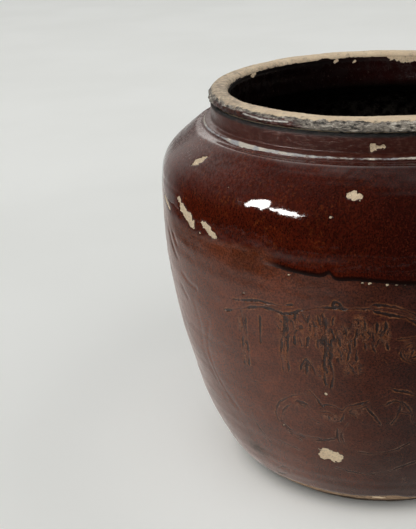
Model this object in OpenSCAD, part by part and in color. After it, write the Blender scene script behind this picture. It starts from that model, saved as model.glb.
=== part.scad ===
// Wide-mouthed stoneware storage jar: clay sections luted together under two brown glaze coats.
// It stands on z = 0 with its axis on Z. Lengths are in millimetres.

/* [Foot] */
// Radius of the foot, at its upright edge
foot_r = 123.5; // [114:0.5:130]
// Height at which the wall leaves the foot's upright edge
foot_h = 6; // [5:0.5:8]
// Radius of the rounding along the foot's lower edge
foot_round = 3; // [1:0.5:4]
// Radius of the shallow hollow under the foot
hollow_r = 98; // [70:1:104]
// Depth of the hollow under the foot
hollow_depth = 2.5; // [1:0.5:4]
// Width of the bevel round the hollow
hollow_bevel = 5; // [2:0.5:8]
// Thickness of the base disc
base_t = 15; // [12:0.5:17]

/* [Body] */
// Radius of the bare clay at the widest part
belly_r = 195.6; // [186:0.2:206]
// Height of the widest part
belly_z = 240; // [228:1:250]
// How far the wall heads outward as it leaves the foot
foot_flare = 38; // [30:1:46]
// How far it climbs over that stretch
foot_lift = 2; // [0:0.5:6]
// Length of the nearly upright stretch under the widest part
belly_drop = 76; // [64:1:88]
// Length of the nearly upright stretch over the widest part
belly_rise = 56; // [46:1:60]
// How far out the shoulder starts to turn in towards the neck
shoulder_out = 33; // [28:1:38]
// How far below the neck it starts to turn in
shoulder_drop = 25; // [20:1:30]
// Height of the shoulder's edge round the neck
shoulder_z = 320; // [312:1:328]
// Thickness of the body's wall
wall_t = 12; // [9:0.5:14]
// Height of the luted joint between lower and upper wall
joint_z = 279; // [270:1:288]
// Width of the shallow groove along that joint
joint_w = 5; // [3:0.5:7]
// Depth of the groove along the joint
joint_depth = 0.7; // [0.4:0.1:1.6]

/* [Neck] */
// Radius of the mouth, inside the glaze
mouth_r = 132; // [124:0.5:138]
// Thickness of the neck collar's clay
neck_t = 14; // [12:0.1:16]
// Height of the neck from the shoulder's edge to the rim
neck_h = 24; // [20:0.5:30]
// How far above the shoulder's edge the mouth's straight wall starts
throat_rise = 2; // [0:0.5:4]
// How far the neck collar's underside climbs towards the mouth
throat_climb = 5; // [3:0.5:7]
// Width of the shoulder's edge outside the neck collar
seat_w = 15.2; // [12:0.1:17]
// How far the ledge ring stands out from the neck collar
ledge_w = 7.4; // [5:0.1:8]
// Height of the ledge ring's rounded edge above the shoulder's edge
ledge_rise = 3.4; // [3:0.1:4.5]
// Radius of the ledge ring's rounded edge
ledge_round = 1.6; // [1:0.1:2]
// Height of the whole ledge ring
ledge_h = 7.2; // [6.6:0.1:9]
// Depth of the groove under the rim
groove_in = 1.6; // [0.5:0.1:2]
// Height of the groove under the rim
groove_h = 3.4; // [2:0.1:4.5]

/* [Rim] */
// Height of the rolled rim
rim_h = 9.7; // [9:0.1:13]
// Thickness of the rolled rim's clay
rim_t = 16.3; // [15:0.1:20]
// Radius of the rim's outer top edge
rim_round_out = 4; // [2:0.5:5]
// Radius of the rim's inner top edge
rim_round_in = 4.5; // [2:0.5:5.5]
// Height over which the rim swells out above its groove
rim_swell = 1.8; // [1:0.1:2.5]

/* [Glaze] */
// Thickness of the first outer coat
glaze_t = 0.9; // [0.5:0.1:1.3]
// Thickness of the second outer coat
over_t = 1.1; // [0.6:0.1:1.5]
// Thickness of the inner glaze
inner_t = 0.8; // [0.5:0.1:1.2]
// Height up to which the foot is left bare
bare_z = 18; // [14:0.5:24]
// Height of the second coat's lower edge
edge_z = 245; // [225:1:258]
// Height of the rolled drip along that edge
drip_h = 9; // [6:0.5:12]
// Extra thickness of the rolled drip
drip_t = 1.1; // [0.4:0.1:1.6]

/* [Hidden] */
$fn = 96;

clay_color = [0.74, 0.63, 0.50];
foot_color = [0.66, 0.54, 0.41];
first_color = [0.34, 0.17, 0.12];
second_color = [0.27, 0.10, 0.07];
inner_color = [0.13, 0.06, 0.05];

// Stretches per curve
lower_steps = 16;
shoulder_steps = 9;
round_steps = 5;
// Thickness with which the second coat's edge starts
edge_t = 0.3;
// Radius of the ring where the floor turns up into the wall, in from the foot's edge
floor_in = 12;
tiny = 0.001;

clay_mouth_r = mouth_r + inner_t;
neck_r = clay_mouth_r + neck_t;
rim_r = clay_mouth_r + rim_t;
ledge_r = neck_r + ledge_w;
shoulder_r = neck_r + seat_w;
rim_z = shoulder_z + neck_h;
top_z = rim_z + rim_h;
throat_z = shoulder_z + throat_rise;

lower_curve = [
  [foot_r, foot_h],
  [foot_r + foot_flare, foot_h + foot_lift],
  [belly_r, belly_z - belly_drop],
  [belly_r, belly_z]
];
upper_curve = [
  [belly_r, belly_z],
  [belly_r, belly_z + belly_rise],
  [shoulder_r + shoulder_out, shoulder_z - shoulder_drop],
  [shoulder_r, shoulder_z]
];

// Point at share t along a curve with four control points
function on_curve(c, t) =
  pow(1 - t, 3) * c[0] + 3 * pow(1 - t, 2) * t * c[1] + 3 * (1 - t) * t * t * c[2] + pow(t, 3) * c[3];

// Share of a rising curve at which it reaches height z, by halving
function share_at(c, z, a = 0, b = 1, left = 22) =
  left == 0 ? (a + b) / 2
  : on_curve(c, (a + b) / 2)[1] < z ? share_at(c, z, (a + b) / 2, b, left - 1)
  : share_at(c, z, a, (a + b) / 2, left - 1);

// Point of the bare wall at height z
function wall_at(z) =
  z < belly_z ? on_curve(lower_curve, share_at(lower_curve, z))
  : on_curve(upper_curve, share_at(upper_curve, z));

// Points of an arc about a centre
function arc(centre, r, from, to, steps = round_steps) =
  [for (i = [0:steps]) centre + r * [cos(from + (to - from) * i / steps), sin(from + (to - from) * i / steps)]];

// Unit vector to the right of the way from a to b, which is outward on a rising line
function side(a, b) = [b[1] - a[1], a[0] - b[0]] / norm(b - a);

// Point i of a line, pushed out square to the line by d
function pushed(line, i, d) =
  let (last = len(line) - 1)
  let (m = side(line[max(i - 1, 0)], line[max(i, 1)]) + side(line[min(i, last - 1)], line[min(i + 1, last)]))
  line[i] + 2 * d * m / (m * m);

function backwards(line) = [for (i = [len(line) - 1:-1:0]) line[i]];

// Heights of the stations round the second coat's lower edge
drip_zs = [for (k = [0, 0.15, 0.35, 0.65, 1]) edge_z + k * drip_h];
drip_top = edge_z + drip_h;
joint_low = joint_z - joint_w / 2;
joint_high = joint_z + joint_w / 2;

// The wall from foot to shoulder, without its joint groove
lower_line = [
  for (i = [0:lower_steps])
    let (p = on_curve(lower_curve, i / lower_steps))
    if (i == 0 || (abs(p[1] - bare_z) > 2 && p[1] < edge_z - 4)) p
];
shoulder_from = share_at(upper_curve, joint_high);
plain_wall = concat(
  [for (p = lower_line) if (p[1] < bare_z) p],
  [wall_at(bare_z)],
  [for (p = lower_line) if (p[1] > bare_z) p],
  [for (z = drip_zs) wall_at(z)],
  [wall_at((drip_top + joint_low) / 2), wall_at(joint_low), wall_at(joint_z)],
  [for (i = [0:shoulder_steps]) on_curve(upper_curve, shoulder_from + (1 - shoulder_from) * i / shoulder_steps)]
);

// The same with the groove pressed in along the joint
grooved_wall = [
  for (p = plain_wall) abs(p[1] - joint_z) < tiny ? [p[0] - joint_depth, p[1]] : p
];

// The ledge ring's outline, from the shoulder's edge up to the neck collar
ledge_edge = [ledge_r - ledge_round, shoulder_z + ledge_rise];
cove_curve = [
  [shoulder_r, shoulder_z],
  [shoulder_r - seat_w / 4, shoulder_z + ledge_rise / 5],
  [ledge_r + ledge_round, shoulder_z + ledge_rise / 5],
  ledge_edge + ledge_round * [cos(-15), sin(-15)]
];
ledge_line = concat(
  [for (i = [1:4]) on_curve(cove_curve, i / 5)],
  arc(ledge_edge, ledge_round, -15, 62, 4),
  [[neck_r + 1.2, shoulder_z + ledge_h - 1.3], [neck_r, shoulder_z + ledge_h]]
);

// The neck's outside and the groove under the rim
neck_line = [
  [neck_r, rim_z - groove_h],
  [neck_r - groove_in, rim_z - groove_h / 2],
  [neck_r - groove_in, rim_z]
];

// The rim's outside up to where its bare top begins
rim_line = [
  [rim_r - groove_in, rim_z + rim_swell / 3],
  [rim_r, rim_z + rim_swell],
  [rim_r, top_z - rim_round_out]
];

outline = concat(grooved_wall, ledge_line, neck_line, rim_line);

// The bare top of the rim, from its outer edge over to the mouth
rim_top = concat(
  arc([rim_r - rim_round_out, top_z - rim_round_out], rim_round_out, 0, 90),
  arc([clay_mouth_r + rim_round_in, top_z - rim_round_in], rim_round_in, 90, 180)
);

// The foot's underside, from the middle out to its upright edge
underside = concat(
  [[0, hollow_depth], [hollow_r - hollow_bevel, hollow_depth], [hollow_r, 0]],
  arc([foot_r - foot_round, foot_round], foot_round, -90, 0)
);

// The inside of the clay, from the middle of the floor up to the mouth
inner_wall = [
  for (i = [0:len(plain_wall) - 1])
    let (p = pushed(plain_wall, i, -wall_t))
    if (p[1] > base_t + 3 && p[0] > foot_r - floor_in + 3) p
];
throat_end = [neck_r, inner_wall[len(inner_wall) - 1][1] + throat_climb * 0.4];
inner_line = concat(
  [[0, base_t], [foot_r - floor_in, base_t]],
  inner_wall,
  [throat_end],
  [[clay_mouth_r + 4, throat_z - 3.4], [clay_mouth_r + 1, throat_z - 1.4]],
  [[clay_mouth_r, throat_z], [clay_mouth_r, top_z - rim_round_in]]
);

// Cross section of all the clay
module clay_section() {
  polygon(concat(underside, outline, rim_top, backwards(inner_line)));
}

// The part of the clay section between two heights and two radii
module clay_ring(low, high, inside = 0, outside = belly_r + wall_t) {
  rotate_extrude()
    intersection() {
      clay_section();
      translate([inside, low])
        square([outside - inside, high - low]);
    }
}

// A coat on a line's points i, from thickness under[k] to thickness over[k]
module coat(line, picked, under, over) {
  rotate_extrude()
    polygon(concat(
      [for (k = [0:len(picked) - 1]) pushed(line, picked[k], under[k])],
      [for (k = [len(picked) - 1:-1:0]) pushed(line, picked[k], over[k])]
    ));
}

// How thick the second coat is at height z: a thin edge, a rolled drip, then an even coat
function second_t(z) =
  z < edge_z + tiny ? edge_t
  : z < drip_top ? over_t + drip_t * sin(180 * (z - edge_z) / drip_h)
  : over_t;

first_picked = [for (i = [0:len(outline) - 1]) if (outline[i][1] > bare_z - tiny) i];
second_picked = [
  for (i = first_picked) if (outline[i][1] > edge_z - tiny && outline[i][1] < rim_z - tiny) i
];

module base_disc() {
  color(foot_color) clay_ring(0, base_t);
}

module lower_wall() {
  color(clay_color) clay_ring(base_t, joint_z);
}

module upper_wall() {
  color(clay_color) clay_ring(joint_z, shoulder_z, inside = neck_r);
}

module ledge_ring() {
  color(clay_color) clay_ring(shoulder_z, shoulder_z + ledge_h, inside = neck_r);
}

module neck_collar() {
  color(clay_color) clay_ring(joint_z, rim_z, outside = neck_r);
}

module rim_roll() {
  color(clay_color) clay_ring(rim_z, top_z);
}

module first_glaze() {
  color(first_color)
    coat(outline, first_picked, [for (i = first_picked) 0], [for (i = first_picked) glaze_t]);
}

module second_glaze() {
  color(second_color)
    coat(
      outline, second_picked,
      [for (i = second_picked) glaze_t],
      [for (i = second_picked) glaze_t + second_t(outline[i][1])]
    );
}

module inner_glaze() {
  picked = [for (i = [0:len(inner_line) - 1]) i];
  color(inner_color)
    coat(inner_line, picked, [for (i = picked) 0], [for (i = picked) -inner_t]);
}

base_disc();
lower_wall();
upper_wall();
ledge_ring();
neck_collar();
rim_roll();
first_glaze();
second_glaze();
inner_glaze();
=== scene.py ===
"""Looks of a glazed stoneware storage jar: fine surfaces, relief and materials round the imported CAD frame.

Outlines are read from the frame's own rings of points, so each surface stays where its CAD node is.
Lengths are in millimetres and angles in degrees up to the last step, where meshes are made in metres.
Azimuth 0 faces -Y and grows towards +X. The photographed side lies between -100 and 0.
"""

import math

import bpy
import numpy as np
from mathutils import Matrix, Vector


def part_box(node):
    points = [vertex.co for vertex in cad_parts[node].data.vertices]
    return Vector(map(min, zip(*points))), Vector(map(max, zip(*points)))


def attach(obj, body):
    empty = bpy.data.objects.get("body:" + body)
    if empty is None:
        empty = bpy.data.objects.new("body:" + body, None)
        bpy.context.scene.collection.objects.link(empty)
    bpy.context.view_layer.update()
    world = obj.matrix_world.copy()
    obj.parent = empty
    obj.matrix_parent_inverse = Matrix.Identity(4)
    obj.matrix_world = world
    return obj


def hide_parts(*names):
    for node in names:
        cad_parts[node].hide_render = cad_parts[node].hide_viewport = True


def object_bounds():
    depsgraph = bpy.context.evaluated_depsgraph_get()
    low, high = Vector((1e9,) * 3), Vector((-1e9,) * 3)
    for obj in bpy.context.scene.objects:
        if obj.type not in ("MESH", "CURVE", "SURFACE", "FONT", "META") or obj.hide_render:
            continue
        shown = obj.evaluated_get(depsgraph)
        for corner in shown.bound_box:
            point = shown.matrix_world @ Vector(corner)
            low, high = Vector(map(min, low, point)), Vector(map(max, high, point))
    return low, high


MM = 0.001

# Camera, fitted to the rim, the mouth and the body's outline
CAMERA_AT = (-0.1586, -0.8699, 0.5324)
CAMERA_DOWN = 21.6
CAMERA_ROLL = -3.03
CAMERA_LENS = 68.05
SENSOR = 36.0

# Grid spacing, in mm round the jar and along its outline
FRONT_FROM, FRONT_TO = -62.0, 14.0
FRONT_STEP = 1.1
SIDE_STEP = 2.7
LINE_STEP = 0.25

# Second coat: rows shift to follow its lower edge up to this far above it
EDGE_FADE = 34.0
EDGE_LAP = 16.0
# Ornament: the drawn stretch, and how often it comes round the jar, with plain wall between
SECTOR = (-50.0, 10.0)
SECTORS = 4

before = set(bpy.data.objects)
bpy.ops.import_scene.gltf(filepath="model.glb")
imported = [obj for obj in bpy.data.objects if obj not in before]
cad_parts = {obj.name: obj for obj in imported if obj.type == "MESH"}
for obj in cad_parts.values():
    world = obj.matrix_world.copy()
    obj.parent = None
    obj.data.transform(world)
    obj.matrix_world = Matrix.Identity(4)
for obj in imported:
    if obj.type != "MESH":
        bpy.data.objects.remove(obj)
cad_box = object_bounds()
CLAY_NODES = ("base_disc", "lower_wall", "upper_wall", "ledge_ring", "neck_collar", "rim_roll")


# ---------------------------------------------------------------- outlines from the frame

def rings(name):
    """Radius and height of each ring of points on a CAD node, from the lowest to the highest."""
    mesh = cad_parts[name].data
    points = np.empty(len(mesh.vertices) * 3)
    mesh.vertices.foreach_get("co", points)
    points = points.reshape(-1, 3) / MM
    pairs = np.column_stack([np.hypot(points[:, 0], points[:, 1]), points[:, 2]])
    pairs = np.unique(pairs.round(1), axis=0)
    pairs = pairs[np.lexsort((pairs[:, 0], pairs[:, 1]))]
    kept = [pairs[0]]
    for pair in pairs[1:]:
        if min(np.hypot(*(pair - other)) for other in kept[-4:]) > 0.16:
            kept.append(pair)
    return np.array(kept)


def apart(points, others, gap=0.22):
    """The points that lie farther than gap from every one of the others."""
    away = points[:, None] - others[None]
    return points[np.hypot(away[..., 0], away[..., 1]).min(axis=1) > gap]


def curve(points, step):
    """Points about every step along a smooth curve through the given ones."""
    points = np.asarray(points, float)
    share = np.concatenate([[0], np.cumsum(np.hypot(*np.diff(points, axis=0).T) ** 0.5)])
    slope = np.diff(points, axis=0) / np.diff(share)[:, None]
    span = np.diff(share)[:, None]
    inner = (slope[1:] * span[:-1] + slope[:-1] * span[1:]) / (span[:-1] + span[1:])
    tangent = np.vstack([slope[:1], inner, slope[-1:]])
    at = np.linspace(0, share[-1], 12 * len(points))
    k = np.clip(np.searchsorted(share, at, side="right") - 1, 0, len(points) - 2)
    h = span[k]
    t = (at[:, None] - share[k][:, None]) / h
    fine = (
        (2 * t**3 - 3 * t**2 + 1) * points[k]
        + (t**3 - 2 * t**2 + t) * h * tangent[k]
        + (3 * t**2 - 2 * t**3) * points[k + 1]
        + (t**3 - t**2) * h * tangent[k + 1]
    )
    run = np.concatenate([[0], np.cumsum(np.hypot(*np.diff(fine, axis=0).T))])
    count = max(2, int(round(run[-1] / step)) + 1)
    even = np.linspace(0, run[-1], count)
    return np.column_stack([np.interp(even, run, fine[:, 0]), np.interp(even, run, fine[:, 1])])


class Outline:
    """A smooth line in radius and height, with its normals, which point away from the axis on a rising line."""

    def __init__(self, points):
        line = curve(points, LINE_STEP)
        self.r, self.z = line.T
        self.s = np.concatenate([[0], np.cumsum(np.hypot(*np.diff(line, axis=0).T))])
        dr, dz = np.gradient(self.r), np.gradient(self.z)
        size = np.hypot(dr, dz)
        self.out, self.up = dz / size, -dr / size
        self.length = self.s[-1]

    def s_at(self, z):
        """Distance along the line at height z, on a rising line."""
        return np.interp(z, self.z, self.s)

    def pushed(self, by):
        return np.column_stack([self.r + by * self.out, self.z + by * self.up])


class Skin:
    """A grid of places round the jar: rows along an outline, columns round the axis, and a lift off the outline."""

    def __init__(self, outline, s, az):
        s = np.asarray(s, float)
        if s.ndim == 1:
            s = np.repeat(s[:, None], len(az), axis=1)
        self.outline, self.s = outline, s
        self.az = np.asarray(az, float)
        self.r = np.interp(s, outline.s, outline.r)
        self.z = np.interp(s, outline.s, outline.z)
        self.out = np.interp(s, outline.s, outline.out)
        self.up = np.interp(s, outline.s, outline.up)
        self.turn = np.broadcast_to(np.radians(self.az), s.shape)
        self.lift = np.zeros(s.shape)
        self.fields = {}

    def points(self, extra=0.0):
        r = self.r + (self.lift + extra) * self.out
        z = self.z + (self.lift + extra) * self.up
        return np.stack([r * np.sin(self.turn), -r * np.cos(self.turn), z], axis=-1)

    def near(self, paths, reach):
        """Distance to the nearest path up to reach, and the same with a sign for its side. Points are (azimuth, s)."""
        gap = np.full(self.s.shape, float(reach))
        side = gap.copy()
        rows = self.s.mean(axis=1)
        slack = np.ptp(self.s, axis=1).max() / 2
        for path in paths:
            path = np.asarray(path, float)
            for a, b in zip(path, path[1:]):
                r = np.interp((a[1] + b[1]) / 2, self.outline.s, self.outline.r)
                mm = math.radians(1) * max(r, 20.0)
                middle = (a + b) / 2
                half = np.hypot((b[0] - a[0]) * mm, b[1] - a[1]) / 2 + reach
                off = (self.az - middle[0] + 180) % 360 - 180
                j = np.flatnonzero(np.abs(off) * mm < half)
                i = np.flatnonzero(np.abs(rows - middle[1]) < half + slack)
                if not len(i) or not len(j):
                    continue
                block = np.ix_(i, j)
                x = off[j][None, :] * mm
                y = self.s[block] - middle[1]
                bx, by = (b[0] - a[0]) * mm, b[1] - a[1]
                size = max(bx * bx + by * by, 1e-9)
                t = np.clip((x * bx + y * by) / size, -0.5, 0.5)
                found = np.hypot(x - t * bx, y - t * by)
                closer = found < gap[block]
                gap[block] = np.where(closer, found, gap[block])
                side[block] = np.where(closer, np.copysign(found, bx * y - by * x), side[block])
        return gap, side


def columns(front_step, side_step, radius):
    """Azimuths round the jar, closer together on the photographed side."""
    mm = math.radians(1) * radius
    front = np.arange(FRONT_FROM, FRONT_TO, front_step / mm)
    count = int((360 - (FRONT_TO - FRONT_FROM)) * mm / side_step)
    side = np.linspace(FRONT_TO, FRONT_FROM + 360, count, endpoint=False)
    return np.concatenate([front, side])


def ripple(az, s, scale_round, scale_along, seed, radius=180.0, count=22):
    """Soft irregular waves of about unit height, seamless round the jar, of about the given sizes in mm."""
    rng = np.random.default_rng(seed)
    most = 2 * math.pi * radius / scale_round
    total = 0
    for _ in range(count):
        turns = round(rng.normal() * most / 1.6)
        climb = rng.normal() * 2 * math.pi / scale_along / 1.6
        total = total + np.sin(np.radians(az) * turns + s * climb + rng.uniform(0, 2 * math.pi))
    return total / math.sqrt(count / 2)


def bump(gap, width):
    return np.exp(-((gap / width) ** 2))


def step_down(value, width):
    """1 below zero and 0 above width, with a soft step between."""
    t = np.clip(value / width, 0, 1)
    return 1 - t * t * (3 - 2 * t)


# ---------------------------------------------------------------- meshes

def kept_inside(points):
    """The points, none of them beyond the CAD box."""
    low, high = np.array(cad_box) / MM
    points = np.clip(points, (-1e4, -1e4, low[2]), (1e4, 1e4, high[2]))
    r = np.hypot(points[:, 0], points[:, 1])
    shrink = np.minimum(1.0, high[0] / np.maximum(r, 1e-6))
    return points * np.column_stack([shrink, shrink, np.ones(len(r))])


def shell(name, rows, poles=False):
    """A closed mesh from rows of points round the axis. Its last row joins its first, or each ends in a pole."""
    count, around = rows.shape[:2]
    grid = np.arange(count * around).reshape(count, around)
    if not poles:
        grid = np.vstack([grid, grid[:1]])
    a, b = grid[:-1], grid[1:]
    quads = np.stack([a, np.roll(a, -1, axis=1), np.roll(b, -1, axis=1), b], axis=-1).reshape(-1, 4)
    points = kept_inside(rows.reshape(-1, 3)) * MM
    corners = [quads.ravel()]
    starts = [np.arange(len(quads)) * 4]
    if poles:
        tips = np.array([rows[0].mean(axis=0), rows[-1].mean(axis=0)]) * MM
        points = np.vstack([points, tips])
        low, high = len(points) - 2, len(points) - 1
        first, last = grid[0], grid[-1]
        fans = [
            np.stack([np.full(around, low), np.roll(first, -1), first], axis=-1),
            np.stack([last, np.roll(last, -1), np.full(around, high)], axis=-1),
        ]
        triangles = np.vstack(fans)
        corners.append(triangles.ravel())
        starts.append(len(quads) * 4 + np.arange(len(triangles)) * 3)
    corners, starts = np.concatenate(corners), np.concatenate(starts)
    mesh = bpy.data.meshes.new(name)
    mesh.vertices.add(len(points))
    mesh.vertices.foreach_set("co", points.astype(np.float32).ravel())
    mesh.loops.add(len(corners))
    mesh.loops.foreach_set("vertex_index", corners.astype(np.int32))
    mesh.polygons.add(len(starts))
    mesh.polygons.foreach_set("loop_start", starts.astype(np.int32))
    mesh.update(calc_edges=True)
    mesh.validate()
    mesh.shade_smooth()
    piece = bpy.data.objects.new(name, mesh)
    bpy.context.scene.collection.objects.link(piece)
    return piece


def set_field(piece, name, values, fill=0.0):
    """Stores one number per point. Points past the given ones get fill."""
    mesh = piece.data
    whole = np.full(len(mesh.vertices), fill, np.float32)
    whole[: values.size] = values.ravel()
    mesh.attributes.new(name, "FLOAT", "POINT").data.foreach_set("value", whole)


def back_rows(skin, thickness, count=64):
    """The hidden side of a coat, from the last row back to the first, thickness below the undisturbed surface."""
    picked = np.linspace(len(skin.s) - 1, 0, count).round().astype(int)
    below = Skin(skin.outline, skin.s[picked], skin.az)
    return below.points(-thickness)


def dress(piece, material, slot, *nodes):
    piece.data.materials.append(material)
    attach(piece, "root")
    if nodes:
        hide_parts(*nodes)
    return piece


# ---------------------------------------------------------------- ornament, chips and marks

def on_line(outline, path, step=3.0, smooth=True):
    """A path given as (azimuth, height) turned into close points of (azimuth, s)."""
    path = np.asarray(path, float)
    mm = math.radians(1) * 170.0
    flat = np.column_stack([path[:, 0] * mm, outline.s_at(path[:, 1])])
    if smooth and len(flat) > 2:
        flat = curve(flat, step)
    return np.column_stack([flat[:, 0] / mm, flat[:, 1]])


# The long wavy line, and the strokes above it
WAVE = [
    [(-49, 198), (-47, 200), (-43, 205.5), (-39, 210), (-35, 211.5), (-31.5, 209.5), (-28.5, 213), (-24.5, 218.5),
     (-21, 220), (-17, 220.5)],
    [(-17, 220.2), (-12, 221.5)],
    [(-10.5, 219), (-8, 216.5), (-4, 214), (-1.5, 208.5), (4, 202), (10, 197.5)],
    [(-45.5, 211), (-43, 212.5), (-39, 216), (-36, 216.7), (-32, 216), (-29.5, 218.5)],
    [(-11, 224.5), (-8, 224), (-5, 221.5), (-2, 216.5), (3, 209)],
    [(-19.8, 222.5), (-19.6, 225.5), (-18.6, 226), (-18.0, 223.0)],
]
# Ribbons that hang from the wave
STEMS = [
    [(-43.9, 203), (-43.5, 188), (-44.4, 175), (-44.9, 152)],
    [(-42.6, 196), (-42.9, 182), (-43.0, 166), (-43.4, 152)],
    [(-38, 203), (-38.5, 190), (-38.8, 178)],
    [(-31.4, 207), (-32.0, 193), (-33.2, 176), (-33.1, 157)],
    [(-30.8, 205), (-31.0, 190), (-31.5, 172), (-31.7, 158)],
    [(-21.5, 209.5), (-22, 182), (-22.4, 168), (-22.4, 150)],
    [(-20.6, 186), (-20.8, 170), (-20.4, 158), (-20.9, 148)],
    [(-26.8, 171), (-28, 165), (-28.3, 161)],
    [(-26.6, 170), (-26.7, 163), (-26.9, 157)],
    [(-26.4, 170), (-25.2, 164), (-24.8, 158)],
]
# Scrolls, the double-outlined gourd, its petals and leaf, and the long arcs near the foot
FAINT = [
    [(-5.5, 195.1), (-4.0, 195.8), (-1.6, 197.3)],
    [(-4.1, 188.7), (-2.8, 191.3), (0.5, 189.3)],
    [(-4.5, 186.1), (-4.7, 180.6), (-3.0, 175.0), (0, 172.9)],
    [(-2.0, 184.0), (-2.6, 178.6), (0.4, 181.1)],
    [(-7.8, 150.4), (-5.5, 147.5), (-3.1, 146.4), (-0.6, 143.0), (5, 139.5)],
    [(-36.9, 98.5), (-37.3, 104), (-37.3, 111.1), (-35.6, 121.5), (-31.6, 131.4), (-28.2, 136.2), (-26.1, 135.7)],
    [(-25.4, 90.2), (-30.8, 90), (-34.4, 94.7), (-35.8, 99.5), (-35.9, 106), (-35, 112.5), (-33.0, 120),
     (-29.9, 127.5), (-27.9, 126.1), (-26.5, 120.9)],
    [(-29.6, 124.7), (-28.1, 121.8), (-27.2, 117.5)],
    [(-26.5, 140.5), (-24.8, 133.5), (-23.7, 127.0)],
    [(-23.1, 128.4), (-20.5, 128.7), (-18.6, 124.5), (-17.3, 129.2), (-14.5, 132.3), (-12.1, 135.9)],
    [(-16.8, 122.1), (-16.0, 126.6), (-14.0, 128.3), (-11.6, 133.0)],
    [(-18.1, 121.6), (-18.4, 117.2), (-19.2, 113.6), (-21.4, 110.3), (-24.1, 107.5), (-26.3, 109.3), (-27.0, 113.1)],
    [(-24.9, 119.9), (-21.7, 120.8), (-20.2, 117.4)],
    [(-16.1, 123.5), (-15.1, 118.6)],
    [(-17.2, 111.4), (-18.6, 104.2), (-19.0, 96.2), (-18.0, 86.4), (-14.8, 81), (-9.9, 80.4), (-5.4, 83.7),
     (-1.0, 92.5)],
    [(-19.9, 106.1), (-20.3, 94.9), (-19.6, 88.5)],
    [(-12.1, 128.8), (-10.6, 121.8), (-9.2, 113.6)],
    [(-7.7, 133.5), (-6.3, 136.6), (-4.4, 136.5), (-4.3, 128.4), (-5.1, 120.1), (-6.0, 113.8)],
    [(-3.9, 136.5), (-2.3, 130.3), (-1.2, 123.9), (-1.1, 116.5), (1, 110.1)],
    [(-34.1, 91.3), (-31.1, 88.6), (-27.6, 87.3), (-24.6, 88.5), (-21.1, 92.5)],
    [(-21.3, 57.8), (-16.9, 55.1), (-11.6, 54.5), (-6.4, 59.2), (-2.5, 65.4), (1.3, 70.8)],
    [(-46.9, 99.7), (-46.1, 88.5), (-42.6, 69.7)],
    [(-42.8, 104.9), (-41.3, 96.7)],
    [(-38.2, 75.2), (-32.7, 71.6)],
    [(-33.7, 88.3), (-31.4, 83.6)],
    [(-45.8, 23.8), (-44.6, 31.8), (-40.5, 39.7), (-38.4, 38.0), (-41.7, 28.0), (-45.4, 24.2)],
]
# Where the carving is a crowd of small leaves: (azimuth, height, width in degrees, height in mm, strength)
LEAF_CROWDS = [
    (-44.4, 190, 1.2, 12, 0.6), (-44.4, 160, 1.0, 12, 0.5), (-32.1, 200, 1.6, 10, 0.9), (-32.3, 178, 1.2, 16, 0.8),
    (-28.0, 198, 1.8, 10, 0.8), (-24.2, 200, 2.2, 10, 1.0), (-21.6, 186, 1.6, 18, 1.0), (-18.0, 197, 2.4, 10, 1.0),
    (-18.6, 180, 2.6, 9, 0.8), (-14.0, 209, 1.6, 7, 0.9), (-12.8, 200, 2.0, 8, 0.8), (-8.6, 200, 1.6, 10, 0.8),
    (-22.8, 162, 1.8, 8, 0.9), (-26.4, 167, 1.6, 7, 0.7), (-16.0, 168, 3.4, 10, 0.5), (-21.6, 117, 3.6, 6, 0.6),
    (-15.2, 124, 2.6, 6, 0.5), (-30.0, 124, 2.4, 5, 0.4), (-3.0, 184, 2.6, 12, 0.4),
]


def scratches(rng):
    """Short faint scratches in every direction, all round the lower wall."""
    found = []
    for _ in range(64):
        az, z = rng.uniform(-180, 180), rng.uniform(35, 238)
        way, reach, bend = rng.uniform(0, math.pi), rng.uniform(6, 20), rng.uniform(-3, 3)
        x, y = math.cos(way) * reach / 3.0, math.sin(way) * reach
        found.append([(az - x, z - y), (az + bend * 0.3, z + bend * 0.5), (az + x, z + y)])
    return found


def leaves(rng):
    """Short hanging strokes between the stems."""
    found = []
    for az in np.arange(-29.0, -6.5, 1.75):
        for z in (212.0, 203.0, 193.0, 184.0):
            if rng.random() < 0.22 or (z < 190 and (az > -14 or az < -25)):
                continue
            a, top = az + rng.uniform(-0.6, 0.6), z + rng.uniform(-4, 2)
            found.append([(a, top), (a + rng.uniform(-0.5, 0.6), top - rng.uniform(4, 8))])
    return found


def ornament():
    """The drawn strokes in every panel round the jar, each other one mirrored: bold ones, faint ones and crowds."""
    rng = np.random.default_rng(7)
    middle = sum(SECTOR) / 2
    bold, faint, crowds = [], [], []
    for k in range(SECTORS):
        turn, shift = 360 / SECTORS * k, rng.uniform(-3, 3) if k else 0.0

        def placed(az):
            return turn + (2 * middle - az if k % 2 else az)

        for group, found in ((WAVE + STEMS + leaves(rng), bold), (FAINT, faint)):
            found += [[(placed(az), z + shift) for az, z in path] for path in group]
        crowds += [(placed(az), z + shift, *rest) for az, z, *rest in LEAF_CROWDS]
    return bold, faint, scratches(rng), crowds


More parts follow.
